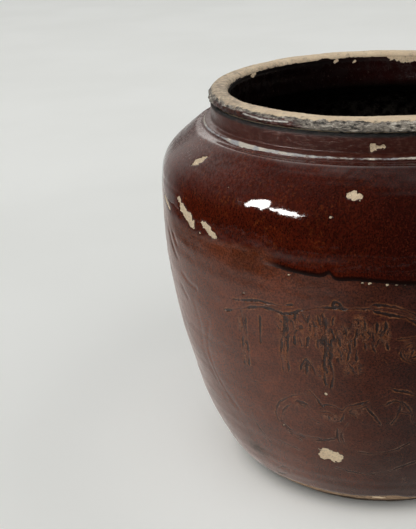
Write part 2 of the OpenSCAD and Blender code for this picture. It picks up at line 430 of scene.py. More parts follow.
# Chips through the glaze: a line of (azimuth, height) points with the chip's half width
CHIPS = [
    ([(-66, 308.5), (-64.6, 310.2), (-64.0, 311.8)], 3.6),
    ([(-66.8, 279.5), (-65.6, 275.5), (-64.6, 273.5)], 1.9),
    ([(-64.6, 273), (-62.4, 269.2), (-61, 266.8), (-59.8, 263.4)], 4.2),
    ([(-54.4, 267.4), (-52.8, 264.8), (-51.2, 261.4)], 3.1),
    ([(-78.5, 268.5), (-74, 263.5)], 1.7),
    ([(-16.4, 306.2), (-15.2, 305.4)], 3.2),
    ([(-24.0, 72.6), (-22.9, 72.2), (-21.8, 71.0)], 6.9),
    ([(-22.5, 140.2), (-22.4, 139.8)], 1.6),
]
NECK_CHIPS = [([(-12.0, 330.4), (-12.1, 333.4)], 2.1), ([(-11.6, 332.6), (-8.9, 333.2)], 1.3)]
MOUTH_CHIPS = [
    ([(165, 349.5), (161, 347.6), (157, 346.6), (148, 347.5)], 3.0),
    ([(158, 347.0), (149, 346.0)], 3.2),
    ([(-171.5, 347.5), (-170.6, 345.8)], 1.5),
    ([(-179.6, 346), (-178.6, 344.5)], 1.2),
    ([(-128, 347.8), (-125, 347.4)], 1.6),
    ([(60, 346.8), (66, 347.2)], 2.6),
]
SPECKS = [
    (-48.3, 301.3), (-42.5, 219.4), (-20.8, 291.4), (-13.6, 242.4), (-12, 242.2), (-8.3, 241.3), (-6.4, 240.9),
    (-4.6, 240.6), (-30.1, 243.2), (-36, 96), (-56.5, 258.5),
]
# Short dents and long faint folds in the wall of the left flank
DENTS = [
    [(-76.6, 240), (-73, 229), (-69.8, 222)],
    [(-72.5, 243), (-70, 236)],
    [(-67.5, 211), (-64, 206.5), (-60.6, 205)],
    [(-70.0, 196), (-67, 188)],
]
FOLDS = [
    [(-57, 176.3), (-60.2, 150.2), (-60, 127.8), (-56, 105.8), (-52.4, 94.4)],
    [(-63, 190), (-62, 168), (-63.5, 140), (-60, 112)],
    [(-82, 205), (-78, 170), (-74, 140)],
]


def scattered_chips(seed, count, low, high):
    """More chips of the same kinds for the sides that the photograph doesn't show."""
    rng = np.random.default_rng(seed)
    found = []
    for _ in range(count):
        az, z = rng.uniform(25, 255), rng.uniform(low, high)
        lean = rng.uniform(-1, 1)
        reach = rng.uniform(0.3, 2.0)
        found.append(([(az - reach, z - 3 * lean), (az, z), (az + reach, z + 2 * lean)], rng.uniform(1.2, 3.8)))
    return found


def chip_field(skin, chips, rough_seed):
    """Distance to the nearest chip's ragged edge: below zero inside."""
    edge = np.full(skin.s.shape, 6.0)
    az = np.broadcast_to(skin.az, skin.s.shape)
    ragged = 0.8 * ripple(az, skin.s, 6.0, 6.0, rough_seed, count=30)
    ragged = np.clip(ragged + 0.4 * ripple(az, skin.s, 3.2, 3.2, rough_seed + 1, count=30), -1.6, 1.6)
    for path, half in chips:
        gap, _ = skin.near([on_line(skin.outline, path, 2.0)], half + 6.0)
        edge = np.minimum(edge, gap - half - ragged * min(0.34 * half, 1.05))
    return edge


def chipped(skin, edge, depth, seed):
    """Sinks the surface inside the chips, with a rough floor."""
    az = np.broadcast_to(skin.az, skin.s.shape)
    floor = depth * (0.86 + 0.14 * np.clip(ripple(az, skin.s, 5.0, 5.0, seed), -1, 1))
    skin.lift = skin.lift * (1 - step_down(edge + 0.5, 1.0)) - floor * step_down(edge + 0.5, 0.8)


def round_about(points):
    """A value that changes smoothly round the jar, through (azimuth, value) points."""
    points = np.array(sorted(points), float)
    twice = np.vstack([points - (360, 0), points, points + (360, 0)])
    line = curve(twice, 0.5)
    return lambda az: np.interp((np.asarray(az) + 180) % 360 - 180, line[:, 0], line[:, 1])


# How dark the glaze is round the jar: partly its own runs, partly painted shade darkening the front towards the right
TONE_AND_SHADE = round_about([
    (-140, 0.3), (-100, 0.1), (-50, 0.15), (-30, 0.35), (-15, 0.7), (0, 1.0), (40, 0.8), (90, 0.4), (140, 0.7),
])
# Height of the second coat's lower edge, how thick its roll is, and height of the joint line
EDGE_Z = round_about([
    (-178, 246), (-150, 242), (-122, 245), (-96, 244), (-70, 243.5), (-44, 245.5), (-35, 248), (-29, 245.6),
    (-22.5, 244.4), (-20.6, 247.6), (-19.0, 242.8), (-15, 243.6), (-9, 242.3), (-2, 240.8), (20, 244), (48, 247),
    (80, 241), (112, 244), (140, 248),
])
ROLL = round_about([
    (-175, 0.7), (-140, 0.9), (-110, 0.1), (-60, 0.0), (-38, 0.0), (-32, 0.32), (-20, 0.7), (0, 1.0), (40, 0.8),
    (75, 0.3), (110, 0.8), (150, 1.0),
])
JOINT_Z = round_about([
    (-178, 279), (-140, 281), (-100, 282), (-70, 283), (-58, 280.3), (-47, 281), (-42, 281.8), (-25.5, 276.8),
    (-19, 275.6), (10, 277), (60, 280), (110, 276.5), (150, 279),
])
JOINT_DEPTH = round_about([
    (-175, 0.10), (-110, 0.20), (-75, 0.24), (-50, 0.18), (-38, 0.10), (-25, 0.12), (0, 0.05), (60, 0.16), (130, 0.08),
])
# Upper edge of the bare foot, how much darker and greyer the rim's clay gets, where its outer face is glazed, and wear
# with a painted highlight along the ledge
FOOT_Z = round_about([
    (-170, 18), (-120, 20), (-80, 17.4), (-50, 17.6), (-30, 17.2), (-14, 18), (-7, 20.6), (-3, 21.6), (2, 18.2),
    (30, 18), (70, 21), (120, 17.6), (150, 20),
])
RIM_DARKENING = round_about([
    (-150, 0.35), (-115, 0.6), (-95, 0.85), (-70, 0.8), (-55, 0.4), (-35, 0.12), (0, 0.1), (50, 0.35), (110, 0.5),
    (160, 0.2),
])
RIM_GLAZE = round_about([
    (-160, 0.2), (-120, 0.5), (-88, 0.15), (-72, 0.8), (-55, 1.0), (-42, 0.95), (-33, 0.5), (-24, 0.15), (10, 0.1),
    (50, 0.7), (90, 0.9), (130, 0.3),
])
LEDGE_WEAR_AND_HIGHLIGHT = round_about([
    (-160, 0.6), (-110, 0.8), (-80, 0.9), (-66, 0.7), (-58, 1.0), (-50, 1.0), (-38, 0.85), (-20, 0.70), (0, 0.75),
    (40, 0.8), (90, 0.6), (140, 0.7),
])


# ---------------------------------------------------------------- material nodes

class Look:
    """One material's nodes, in few words. Sizes are in mm."""

    def __init__(self, name):
        self.material = bpy.data.materials.new(name)
        self.material.use_nodes = True
        self.tree = self.material.node_tree
        self.shader = self.tree.nodes["Principled BSDF"]
        self.place = self.add("ShaderNodeTexCoord").outputs["Object"]

    def add(self, kind, **settings):
        node = self.tree.nodes.new(kind)
        for key, value in settings.items():
            setattr(node, key, value)
        return node

    def feed(self, socket, value):
        if isinstance(value, bpy.types.NodeSocket):
            self.tree.links.new(value, socket)
        else:
            socket.default_value = value

    def set(self, **values):
        """Feeds the shader's sockets, named with _ for spaces."""
        for key, value in values.items():
            self.feed(self.shader.inputs[key.replace("_", " ")], value)

    def noise(self, size, detail=2.0, rough=0.5, stretch=(1, 1, 1), warp=0.0):
        place = self.place
        if tuple(stretch) != (1, 1, 1):
            scaled = self.add("ShaderNodeVectorMath", operation="MULTIPLY")
            self.feed(scaled.inputs[0], place)
            scaled.inputs[1].default_value = [1 / x for x in stretch]
            place = scaled.outputs[0]
        node = self.add("ShaderNodeTexNoise")
        self.feed(node.inputs["Vector"], place)
        node.inputs["Scale"].default_value = 1 / (size * MM)
        node.inputs["Detail"].default_value = detail
        node.inputs["Roughness"].default_value = rough
        node.inputs["Distortion"].default_value = warp
        return node.outputs["Fac"]

    def cells(self, size):
        node = self.add("ShaderNodeTexVoronoi", feature="F1")
        self.feed(node.inputs["Vector"], self.place)
        node.inputs["Scale"].default_value = 1 / (size * MM)
        return node.outputs["Distance"]

    def height(self):
        """Height over the floor, in metres."""
        node = self.add("ShaderNodeSeparateXYZ")
        self.feed(node.inputs[0], self.place)
        return node.outputs["Z"]

    def field(self, name):
        return self.add("ShaderNodeAttribute", attribute_name=name).outputs["Fac"]

    def math(self, operation, a, b=0.0):
        node = self.add("ShaderNodeMath", operation=operation)
        self.feed(node.inputs[0], a)
        self.feed(node.inputs[1], b)
        return node.outputs[0]

    def times(self, *factors):
        product = factors[0]
        for factor in factors[1:]:
            product = self.math("MULTIPLY", product, factor)
        return product

    def span(self, value, low, high, to_low=0.0, to_high=1.0):
        """The value mapped from low..high to to_low..to_high with a soft step, held at the ends."""
        node = self.add("ShaderNodeMapRange", interpolation_type="SMOOTHSTEP")
        for key, number in zip((0, 1, 2, 3, 4), (value, low, high, to_low, to_high)):
            self.feed(node.inputs[key], number)
        return node.outputs[0]

    def blend(self, share, a, b, how="MIX"):
        node = self.add("ShaderNodeMix", data_type="RGBA", blend_type=how)
        self.feed(node.inputs["Factor"], share)
        self.feed(node.inputs["A"], a if isinstance(a, bpy.types.NodeSocket) else (*a, 1))
        self.feed(node.inputs["B"], b if isinstance(b, bpy.types.NodeSocket) else (*b, 1))
        return node.outputs["Result"]

    def between(self, share, a, b):
        """The number a where share is 0 and b where it is 1."""
        node = self.add("ShaderNodeMix", data_type="FLOAT")
        self.feed(node.inputs["Factor"], share)
        self.feed(node.inputs["A"], a)
        self.feed(node.inputs["B"], b)
        return node.outputs["Result"]

    def relief(self, *layers):
        """Stacks bumps, each given as (height socket, depth in mm)."""
        normal = None
        for height, depth in layers:
            node = self.add("ShaderNodeBump")
            node.inputs["Strength"].default_value = 1.0
            node.inputs["Distance"].default_value = depth * MM
            self.feed(node.inputs["Height"], height)
            if normal is not None:
                self.feed(node.inputs["Normal"], normal)
            normal = node.outputs[0]
        self.feed(self.shader.inputs["Normal"], normal)


# Glaze colours at the two ends of the tone field, which holds the glaze's own runs and painted shade
FIRST_LIGHT, FIRST_DARK = (0.130, 0.028, 0.0085), (0.033, 0.0078, 0.0048)
SECOND_LIGHT, SECOND_DARK = (0.078, 0.0085, 0.0022), (0.023, 0.0030, 0.0016)
ORANGE, UMBER = (0.245, 0.082, 0.024), (0.0120, 0.0080, 0.0070)


def clay_colour(look, dirt_more=0.0):
    """Buff stoneware with darker patches, pale grains and a little dirt. Takes a number or a socket for more dirt."""
    broad = look.span(look.noise(22, 4, 0.6), 0.35, 0.68)
    colour = look.blend(broad, (0.67, 0.505, 0.33), (0.78, 0.615, 0.41))
    dirt = look.math("ADD", look.noise(6, 5, 0.7), look.times(dirt_more, 0.18) if dirt_more else 0.0)
    dirt = look.span(dirt, 0.56, 0.76)
    colour = look.blend(look.times(dirt, 0.75), colour, (0.27, 0.205, 0.15))
    grain = look.span(look.noise(1.1, 2, 0.6), 0.60, 0.72)
    colour = look.blend(look.times(grain, 0.5), colour, (0.82, 0.72, 0.57))
    pits = look.span(look.cells(2.6), 0.0, 0.17, 1.0, 0.0)
    return look.blend(look.times(pits, 0.55), colour, (0.20, 0.145, 0.10))


def clay_look(name="fired_clay"):
    look = Look(name)
    look.set(Base_Color=clay_colour(look), Roughness=look.span(look.noise(5, 3), 0.3, 0.7, 0.78, 0.96))
    look.set(Specular_IOR_Level=0.25)
    look.relief((look.noise(1.4, 4, 0.65), 0.35), (look.noise(6, 3, 0.6), 0.5))
    return look.material


def foot_look():
    """Clay under the jar darkened by dirt and painted shadow, and paler clay along the glaze's edge."""
    look = Look("foot_clay_dirt_and_shadow")
    high = look.math("ADD", look.height(), look.times(look.noise(7, 3, 0.6), 0.006))
    # Dirt and painted shadow: darker clay towards the floor
    colour = look.blend(look.span(high, 0.012, 0.0185), (0.085, 0.058, 0.040), (0.36, 0.235, 0.145))
    colour = look.blend(look.span(look.noise(4, 4, 0.65), 0.45, 0.7), colour, (0.14, 0.095, 0.062))
    look.set(Base_Color=colour, Roughness=look.span(look.noise(5, 3), 0.3, 0.7, 0.75, 0.95))
    look.set(Specular_IOR_Level=0.2)
    look.relief((look.noise(1.4, 4, 0.65), 0.3), (look.noise(6, 3, 0.6), 0.5))
    return look.material


def first_colour(look):
    """The thin coat: milky red brown with a fine orange and umber grain."""
    # The tone holds painted shade on the front as well as the glaze's own runs
    colour = look.blend(look.field("tone"), FIRST_LIGHT, FIRST_DARK)
    drift = look.span(look.noise(30, 4, 0.6, stretch=(1.3, 1.3, 0.9)), 0.36, 0.66, 0.80, 1.12)
    grain = look.span(look.noise(1.5, 3, 0.7), 0.34, 0.66, 0.52, 1.50)
    shade = look.add("ShaderNodeVectorMath", operation="SCALE")
    look.feed(shade.inputs[0], colour)
    look.feed(shade.inputs["Scale"], look.times(drift, grain))
    colour = shade.outputs[0]
    dots = look.times(look.span(look.noise(1.2, 2, 0.55), 0.60, 0.70), look.span(look.noise(24, 3, 0.6), 0.4, 0.62))
    return look.blend(look.times(dots, 0.42), colour, ORANGE)


def second_colour(look):
    """The thick coat: deep red brown, amber and speckled on the left."""
    tone = look.field("tone")
    # The tone holds painted shade on the front as well as the glaze's own runs
    colour = look.blend(tone, SECOND_LIGHT, SECOND_DARK)
    pool = look.span(look.noise(20, 4, 0.6, stretch=(1.5, 1.5, 0.8)), 0.38, 0.64)
    colour = look.blend(look.times(pool, 0.42), colour, (0.020, 0.0024, 0.0014))
    amber = look.math("SUBTRACT", 1.0, tone)
    fleck = look.span(look.noise(2.6, 4, 0.65, stretch=(1, 1, 1.5)), 0.50, 0.66)
    crowd = look.span(look.noise(17, 3, 0.6), 0.44, 0.62)
    colour = look.blend(look.times(amber, fleck, crowd, 0.55), colour, (0.185, 0.043, 0.010))
    fine = look.span(look.noise(1.1, 2, 0.6), 0.56, 0.70)
    colour = look.blend(look.times(fine, 0.30), colour, (0.12, 0.030, 0.012))
    shade = look.add("ShaderNodeVectorMath", operation="SCALE")
    look.feed(shade.inputs[0], colour)
    look.feed(shade.inputs["Scale"], look.span(look.noise(1.5, 3, 0.7, stretch=(1, 1, 1.5)), 0.34, 0.66, 0.55, 1.45))
    return shade.outputs[0]


def pinholed(look, colour, size, share):
    holes = look.span(look.cells(size), 0.035, 0.07, 1.0, 0.0)
    return look.blend(look.times(holes, share), colour, (0.012, 0.008, 0.006))


def with_chips(look, colour, shine, wobble=1.4):
    """Bare clay in place of the glaze inside the chips, with a dark line of painted shade along their edges."""
    edge = look.math("ADD", look.field("chip"), look.times(look.noise(1.9, 4, 0.65), wobble * 1.6))
    edge = look.math("SUBTRACT", edge, wobble * 0.8)
    bare = look.span(edge, -0.16, 0.02, 1.0, 0.0)
    # Painted shade: a dark line along the chips' broken edges
    lip = look.times(look.span(edge, 0.0, 0.2), look.span(edge, 0.3, 0.75, 1.0, 0.0))
    colour = look.blend(look.times(lip, 0.45), colour, (0.016, 0.007, 0.005))
    clay = clay_colour(look)
    soil = look.span(look.noise(1.4, 4, 0.7), 0.47, 0.62)
    clay = look.blend(look.times(soil, 0.55), clay, (0.31, 0.235, 0.165))
    colour = look.blend(bare, colour, clay)
    height = look.times(bare, look.noise(1.4, 4, 0.7))
    return colour, look.between(bare, shine, 0.92), height


def first_look():
    """The thin coat with the carved strokes and leaves under it, dust towards the foot, and chips."""
    look = Look("brown_glaze_thin")
    colour = first_colour(look)
    shine = look.span(look.noise(12, 4, 0.65), 0.3, 0.72, 0.10, 0.20)
    press = look.field("press")
    wobble = look.times(look.math("SUBTRACT", look.noise(2.4, 3, 0.6), 0.5), 1.9)
    wander = look.times(look.math("SUBTRACT", look.noise(6.5, 3, 0.6), 0.5), 3.0)
    wobble = look.math("ADD", wobble, wander)
    across = look.math("ABSOLUTE", look.math("ADD", look.field("side"), wobble))
    across = look.math("SUBTRACT", across, look.times(press, press, 0.85))
    close = look.span(look.field("cut"), 2.0, 3.2, 1.0, 0.0)
    broken = look.span(look.noise(4.0, 3, 0.65), 0.36, 0.60, 0.15, 1.0)
    line = look.times(look.span(across, 0.05, 0.45, 1.0, 0.0), close, press)
    burr = look.times(look.span(across, 0.2, 0.6), look.span(across, 0.9, 1.9, 1.0, 0.0), close, press, broken)
    leafy = look.field("crowd")
    knots = look.noise(3.6, 4, 0.62, stretch=(0.9, 0.9, 1.6), warp=0.5)
    leafy = look.span(look.math("ADD", leafy, look.times(look.noise(8, 3, 0.6), 0.6)), 0.45, 0.85)
    hollow = look.times(look.span(knots, 0.55, 0.60), leafy)
    ridge = look.times(look.span(knots, 0.47, 0.50), look.span(knots, 0.52, 0.56, 1.0, 0.0), leafy)
    dust = look.times(look.span(look.noise(1.5, 4, 0.7), 0.50, 0.60), leafy)
    warm = look.math("MAXIMUM", look.math("MAXIMUM", burr, look.times(ridge, 0.9)), look.times(dust, 0.45))
    dark = look.math("MAXIMUM", line, look.times(hollow, 0.85))
    low = look.span(look.height(), 0.030, 0.165, 1.0, 0.0)
    film = look.times(low, look.span(look.noise(16, 4, 0.65), 0.34, 0.68, 0.25, 1.0))
    # Near the foot the carved marks turn pale: dust, with painted highlight on the grooves
    pale_dust_and_highlight = look.blend(low, ORANGE, (0.16, 0.105, 0.075))
    colour = look.blend(look.times(film, 0.26), colour, (0.085, 0.058, 0.044))
    colour = look.blend(look.times(warm, 0.70), colour, pale_dust_and_highlight)
    colour = look.blend(look.times(dark, 0.84), colour, UMBER)
    smear = look.times(look.field("soot_and_shadow"), look.span(look.noise(3.5, 4, 0.7), 0.34, 0.52))
    colour = look.blend(look.times(smear, 0.9), colour, (0.016, 0.018, 0.011))
    colour = pinholed(look, colour, 8.0, 0.6)
    shine = look.math("ADD", shine, look.times(warm, 0.14))
    shine = look.math("ADD", shine, look.times(film, 0.12))
    colour, shine, rough = with_chips(look, colour, shine)
    carved = look.math("SUBTRACT", look.times(warm, 0.45), dark)
    look.set(Base_Color=colour, Roughness=shine, Specular_IOR_Level=look.between(smear, 0.5, 0.1))
    look.relief(
        (look.noise(1.8, 3, 0.6), 0.07), (look.noise(10, 3, 0.5), 0.12), (carved, 0.22), (rough, 0.5),
    )
    return look.material


def second_look():
    """The thick coat, thin and milky where it feathers out, with painted shade along its rolled lower edge, scuffs with
    painted sheen on the shoulder, wear with a painted highlight on the ledge, and grime with painted shadow under the
    rim.
    """
    look = Look("brown_glaze_thick")
    colour = second_colour(look)
    thin = look.span(look.math("ADD", look.field("thin"), look.times(look.noise(13, 4, 0.6), 0.4)), 0.40, 1.0)
    colour = look.blend(thin, colour, first_colour(look))
    shine = look.span(look.noise(15, 4, 0.6), 0.35, 0.75, 0.035, 0.075)
    scuff_and_sheen_streaks = look.span(look.noise(2.6, 4, 0.7, stretch=(0.7, 1.6, 2.2)), 0.38, 0.66, 0.4, 1.0)
    shine = look.math("ADD", shine, look.times(look.field("scuff_and_sheen"), scuff_and_sheen_streaks, 0.32))
    shine = look.between(thin, shine, look.span(look.noise(12, 4, 0.65), 0.3, 0.72, 0.10, 0.20))
    colour = pinholed(look, colour, 7.0, 0.8)
    # Painted shade: a dark band along the underside of the coat's rolled lower edge, with its specular level lowered
    # too
    lip = look.math("ADD", look.field("rise"), look.times(look.noise(4, 3, 0.6), 1.2))
    lip = look.times(look.span(lip, 4.0, 6.0, 1.0, 0.0), look.math("SUBTRACT", 1.0, thin))
    colour = look.blend(look.times(lip, 0.9), colour, (0.006, 0.0025, 0.002))
    # Painted sheen: a pale milky colour over the scuffed, rougher glaze on the upper shoulder
    colour = look.blend(look.times(look.field("scuff_and_sheen"), scuff_and_sheen_streaks, 0.34), colour, (0.36, 0.27, 0.25))
    neck = look.field("neck")
    look.set(Specular_IOR_Level=look.between(neck, look.between(lip, 0.5, 0.05), 0.30))
    streaks = look.span(look.noise(2.4, 4, 0.7, stretch=(2.0, 2.0, 0.8)), 0.46, 0.68)
    haze = look.times(neck, streaks)
    colour = look.blend(look.times(neck, 0.5), colour, (0.064, 0.013, 0.0075))
    colour = look.blend(look.times(haze, 0.42), colour, (0.150, 0.060, 0.038))
    shine = look.between(neck, shine, 0.30)
    colour = look.blend(look.times(look.field("dust"), look.span(look.noise(5, 4, 0.7), 0.4, 0.6)), colour,
                        (0.36, 0.30, 0.17))
    # Wear and a painted highlight: pale grey and cream along the ledge's crest
    wear_and_highlight = look.math("ADD", look.field("wear_and_highlight"), look.times(look.noise(3.0, 5, 0.7, stretch=(1.8, 1.8, 0.8)), 0.9))
    pale = look.span(wear_and_highlight, 1.02, 1.24)
    wear_and_highlight_tint = look.blend(look.span(look.noise(14, 3), 0.42, 0.58), (0.42, 0.42, 0.43), (0.66, 0.60, 0.50))
    colour = look.blend(look.times(pale, 0.88), colour, wear_and_highlight_tint)
    # Painted shadow and grime: dark, rough glaze in the groove under the rim
    shadow_and_grime = look.times(look.field("darkening"), look.span(look.noise(4, 3, 0.6), 0.25, 0.5, 0.6, 1.0))
    colour = look.blend(shadow_and_grime, colour, (0.0045, 0.0035, 0.003))
    shine = look.between(shadow_and_grime, shine, 0.75)
    shine = look.math("ADD", shine, look.times(pale, 0.35))
    shine = look.math("ADD", shine, look.times(haze, 0.16))
    colour, shine, rough = with_chips(look, colour, shine)
    look.set(Base_Color=colour, Roughness=shine)
    fine = look.times(look.noise(1.8, 3, 0.6), look.between(thin, 0.3, 1.0))
    look.relief(
        (fine, 0.07), (look.noise(12, 3, 0.5), 0.11), (look.times(neck, streaks), 0.10),
        (look.times(pale, look.noise(1.6, 3, 0.6)), 0.25), (rough, 0.6),
    )
    return look.material


def lining_look():
    """Nearly black glaze inside, redder in the neck, half glossy and chipped along the mouth."""
    look = Look("lining_glaze_dark")
    high = look.span(look.height(), 0.318, 0.330)
    upper = look.blend(look.field("tone"), (0.0026, 0.0009, 0.0008), (0.019, 0.0030, 0.0024))
    colour = look.blend(high, (0.0040, 0.0020, 0.0016), upper)
    colour = look.blend(look.times(look.span(look.noise(9, 4, 0.6), 0.45, 0.7), 0.5), colour, (0.008, 0.003, 0.0023))
    # Stains and painted sheen: pale patches on the far inner wall
    stain_and_sheen = look.times(look.span(look.noise(8, 5, 0.7), 0.44, 0.62), look.field("stain_and_sheen"))
    colour = look.blend(look.times(stain_and_sheen, 0.8), colour, (0.085, 0.074, 0.060))
    crust = look.times(look.span(look.noise(3.0, 4, 0.7), 0.60, 0.72), high)
    colour = look.blend(look.times(crust, 0.4), colour, (0.11, 0.08, 0.065))
    shine = look.span(look.noise(10, 4, 0.65), 0.3, 0.7, 0.16, 0.34)
    colour, shine, rough = with_chips(look, colour, shine, 0.9)
    lip = look.span(look.height(), 0.3445, 0.3480)
    look.set(Base_Color=colour, Roughness=look.between(lip, shine, 0.6))
    look.set(Specular_IOR_Level=look.between(lip, 0.28, 0.06))
    look.relief((look.noise(3.2, 3, 0.5), 0.06), (look.noise(11, 3, 0.5), 0.2), (rough, 0.5))
    return look.material


def rim_look():
    """Bare buff clay on top, grey crust round its edge, and streaked crust or brown glaze on the outer face."""
    look = Look("rim_clay_and_crust")
    # Darker, greyer clay round part of the rim, as much as the darkening field gives
    darkening = look.field("darkening")
    colour = clay_colour(look, darkening)
    grey = look.times(darkening, look.span(look.noise(2.6, 4, 0.7), 0.34, 0.60))
    colour = look.blend(look.times(grey, 0.62), colour, (0.205, 0.175, 0.145))
    ragged = look.times(look.math("SUBTRACT", look.noise(7, 5, 0.7, stretch=(1, 1, 0.7)), 0.3), 9.0)
    below = look.math("ADD", look.field("below"), ragged)
    crusted = look.span(below, -0.5, 0.3)
    mottle = look.noise(2.8, 5, 0.72, stretch=(2.0, 2.0, 0.7))
    crust = look.blend(look.span(mottle, 0.42, 0.50), (0.030, 0.026, 0.022), (0.25, 0.215, 0.175))
    crust = look.blend(look.span(mottle, 0.55, 0.62), crust, (0.62, 0.56, 0.47))
    glazed = look.math("ADD", look.field("glazed"), look.times(look.noise(11, 4, 0.6), 0.7))
    glazed = look.times(look.span(glazed, 0.72, 0.98), look.span(below, 1.6, 2.4))
    brown = look.blend(look.span(look.noise(5, 4, 0.6), 0.4, 0.65), (0.075, 0.018, 0.010), (0.028, 0.009, 0.007))
    crust = look.blend(glazed, crust, brown)
    colour = look.blend(crusted, colour, crust)
    # Painted glint: a pale line along the crust's edge on the outer face
    painted_glint = look.span(look.math("ADD", look.field("painted_glint"), look.times(look.noise(2.2, 3, 0.6), 1.4)), 0.9, 1.7, 1.0, 0.0)
    colour = look.blend(look.times(painted_glint, 0.9), colour, (0.74, 0.70, 0.64))
    # Painted shadow: dark along the foot of the rim's outer face, where it overhangs the groove
    soot_and_shadow = look.span(look.math("ADD", look.field("below"), look.times(look.noise(4, 3, 0.6), 2.0)), 8.6, 9.8)
    colour = look.blend(look.times(soot_and_shadow, 0.9), colour, (0.007, 0.005, 0.004))
    lap = look.math("SUBTRACT", look.field("inner"), look.times(look.noise(6, 4, 0.7), 3.0))
    lap = look.span(lap, 0.0, 0.5, 1.0, 0.0)
    colour = look.blend(lap, colour, (0.012, 0.004, 0.003))
    gloss = look.math("MAXIMUM", look.times(glazed, crusted), lap)
    rough = look.between(gloss, look.span(look.noise(5, 3), 0.3, 0.7, 0.8, 0.95), 0.2)
    look.set(Base_Color=colour, Roughness=rough, Specular_IOR_Level=0.4)
    look.relief(
        (look.noise(1.2, 4, 0.7), 0.30), (look.times(crusted, mottle), 0.9),
        (look.math("MAXIMUM", painted_glint, look.times(lap, 0.5)), 0.5),
    )
    return look.material


# ---------------------------------------------------------------- pieces

def outer_lines():
    """Outlines of the first coat and of the second coat, the second one without its drip and joint groove."""
    clay = np.vstack([rings(name) for name in CLAY_NODES])
    first_all = rings("first_glaze")
    first = apart(first_all, clay)
    second = apart(rings("second_glaze"), first_all)
    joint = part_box("lower_wall")[1].z / MM
    first = first[np.abs(first[:, 1] - joint) > 1.6]
    second = second[np.abs(second[:, 1] - joint) > 1.6]
    coat = Outline(first)
    edge_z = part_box("second_glaze")[0].z / MM
    high = second[second[:, 1] > edge_z + EDGE_LAP]
    gap = np.hypot(coat.r - high[0, 0], coat.z - high[0, 1]).min()
    under = coat.pushed(gap)
    under = under[under[:, 1] < high[0, 1] - 4][::24]
    over = Outline(np.vstack([under[under[:, 1] > edge_z - 40], high]))
    return coat, over, gap


def shifted(base, rows, start, fade_over):
    """Rows of s that follow the line start(azimuth) at their low end, and run level past fade_over."""
    t = np.clip(rows / fade_over, 0, 1)
    fade = 1 - t * t * (3 - 2 * t)
    return base + rows[:, None] + (start - base)[None, :] * fade[:, None]


def first_ripples(turn, s):
    """The uneven surface of the first coat, which the second one follows where it thins out."""
    waves = 0.28 * ripple(turn, s, 95, 70, 11) + 0.035 * ripple(turn, s, 160, 9, 12)
    return waves + 0.035 * ripple(turn, s, 12, 10, 13, count=40)


def make_first_coat(coat, glaze):
    az = columns(FRONT_STEP, SIDE_STEP, coat.r.max())
    base, top = float(coat.s_at(18.0)), float(coat.s_at(262.0))
    rows = np.concatenate([np.linspace(0, 44, 28, endpoint=False), np.linspace(44, top - base, 172)])
    skin = Skin(coat, shifted(base, rows, coat.s_at(FOOT_Z(az)), 40.0), az)
    turn = np.broadcast_to(az, skin.s.shape)
    skin.lift = skin.lift + first_ripples(turn, skin.s)
    for creases, depth in ((DENTS, 0.55), (FOLDS, 0.24)):
        skin.lift = skin.lift - depth * bump(skin.near([on_line(coat, p) for p in creases], 9.0)[0], 2.4)
    bold, faint, scraped, crowds = ornament()
    uneven = ripple(turn, skin.s, 16, 16, 15, count=30)
    strokes = [
        (bold, np.clip(0.84 + 0.30 * uneven, 0.2, 1.0)),
        (faint, np.clip(0.58 + 0.26 * uneven, 0.12, 0.9)),
        (scraped, np.clip(0.22 + 0.16 * uneven, 0.0, 0.45)),
    ]
    cut, side, press = np.full(skin.s.shape, 5.0), np.full(skin.s.shape, 5.0), np.zeros(skin.s.shape)
    for paths, force in strokes:
        gap, signed = skin.near([on_line(coat, p) for p in paths], 5.0)
        skin.lift = skin.lift - 0.30 * force**1.5 * bump(gap, 1.1) + 0.12 * force**2 * bump(gap - 2.2, 1.0)
        nearer = gap < cut
        cut, side, press = np.where(nearer, gap, cut), np.where(nearer, signed, side), np.where(nearer, force, press)
    leafy = np.zeros(skin.s.shape)
    for a, z, wide, tall, strength in crowds:
        off = (az - a + 180) % 360 - 180
        leafy = np.maximum(leafy, strength * bump(off, wide)[None, :] * bump(skin.z - z, tall))
    skin.lift = skin.lift + 0.16 * leafy * ripple(turn, skin.s, 5, 8, 16, count=40)
    marks = [([(a, z), (a + 0.3, z + 0.3)], 0.65) for a, z in SPECKS]
    edge = chip_field(skin, CHIPS + scattered_chips(31, 6, 45, 225) + marks, 21)
    chipped(skin, edge, 0.66, 23)
    skin.lift = np.minimum(skin.lift, 0.5) - 0.75 * np.exp(-((rows / 2.0) ** 2))[:, None]
    front = skin.points()
    piece = shell("glaze_first_coat", np.concatenate([front, back_rows(skin, 0.86)]))
    set_field(piece, "cut", cut, 5.0)
    set_field(piece, "side", side, 5.0)
    set_field(piece, "press", press)
    set_field(piece, "crowd", leafy)
    set_field(piece, "chip", edge, 6.0)
    set_field(piece, "tone", np.broadcast_to(TONE_AND_SHADE(az), skin.s.shape), 0.5)
    set_field(piece, "soot_and_shadow", bump(az + 50.5, 4.2)[None, :] * bump(skin.z - 51, 7.0))
    return dress(piece, glaze, "brown_glaze", "first_glaze")


